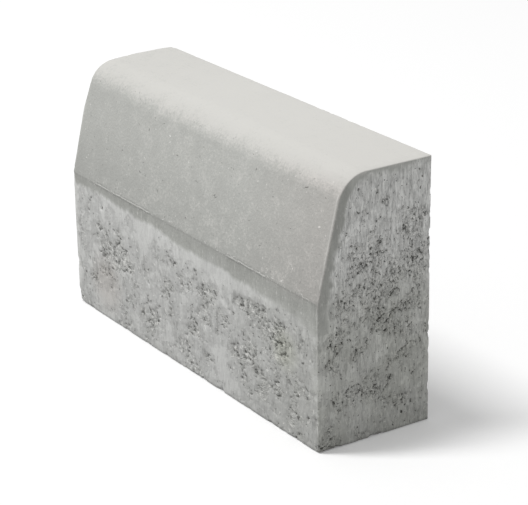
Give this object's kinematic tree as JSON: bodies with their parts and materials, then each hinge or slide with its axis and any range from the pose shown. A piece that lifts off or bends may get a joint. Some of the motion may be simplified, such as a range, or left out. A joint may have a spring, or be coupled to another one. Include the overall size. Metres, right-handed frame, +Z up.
{
  "type": "concrete kerb stone",
  "caption": "Straight precast concrete kerb stone with an upright toe, a leaning road face, a round nose and a flat top, set in a row to edge a road or path.",
  "frame": {"origin": "middle of the base", "axes": "+X along the kerb, the leaning road face towards -Y, the back face towards +Y, +Z up"},
  "size_m": [0.43, 0.12, 0.25],
  "materials": {
    "concrete": "matte"
  },
  "bodies": {
    "root": {"kerb_stone": "concrete"}
  },
  "joints": []
}
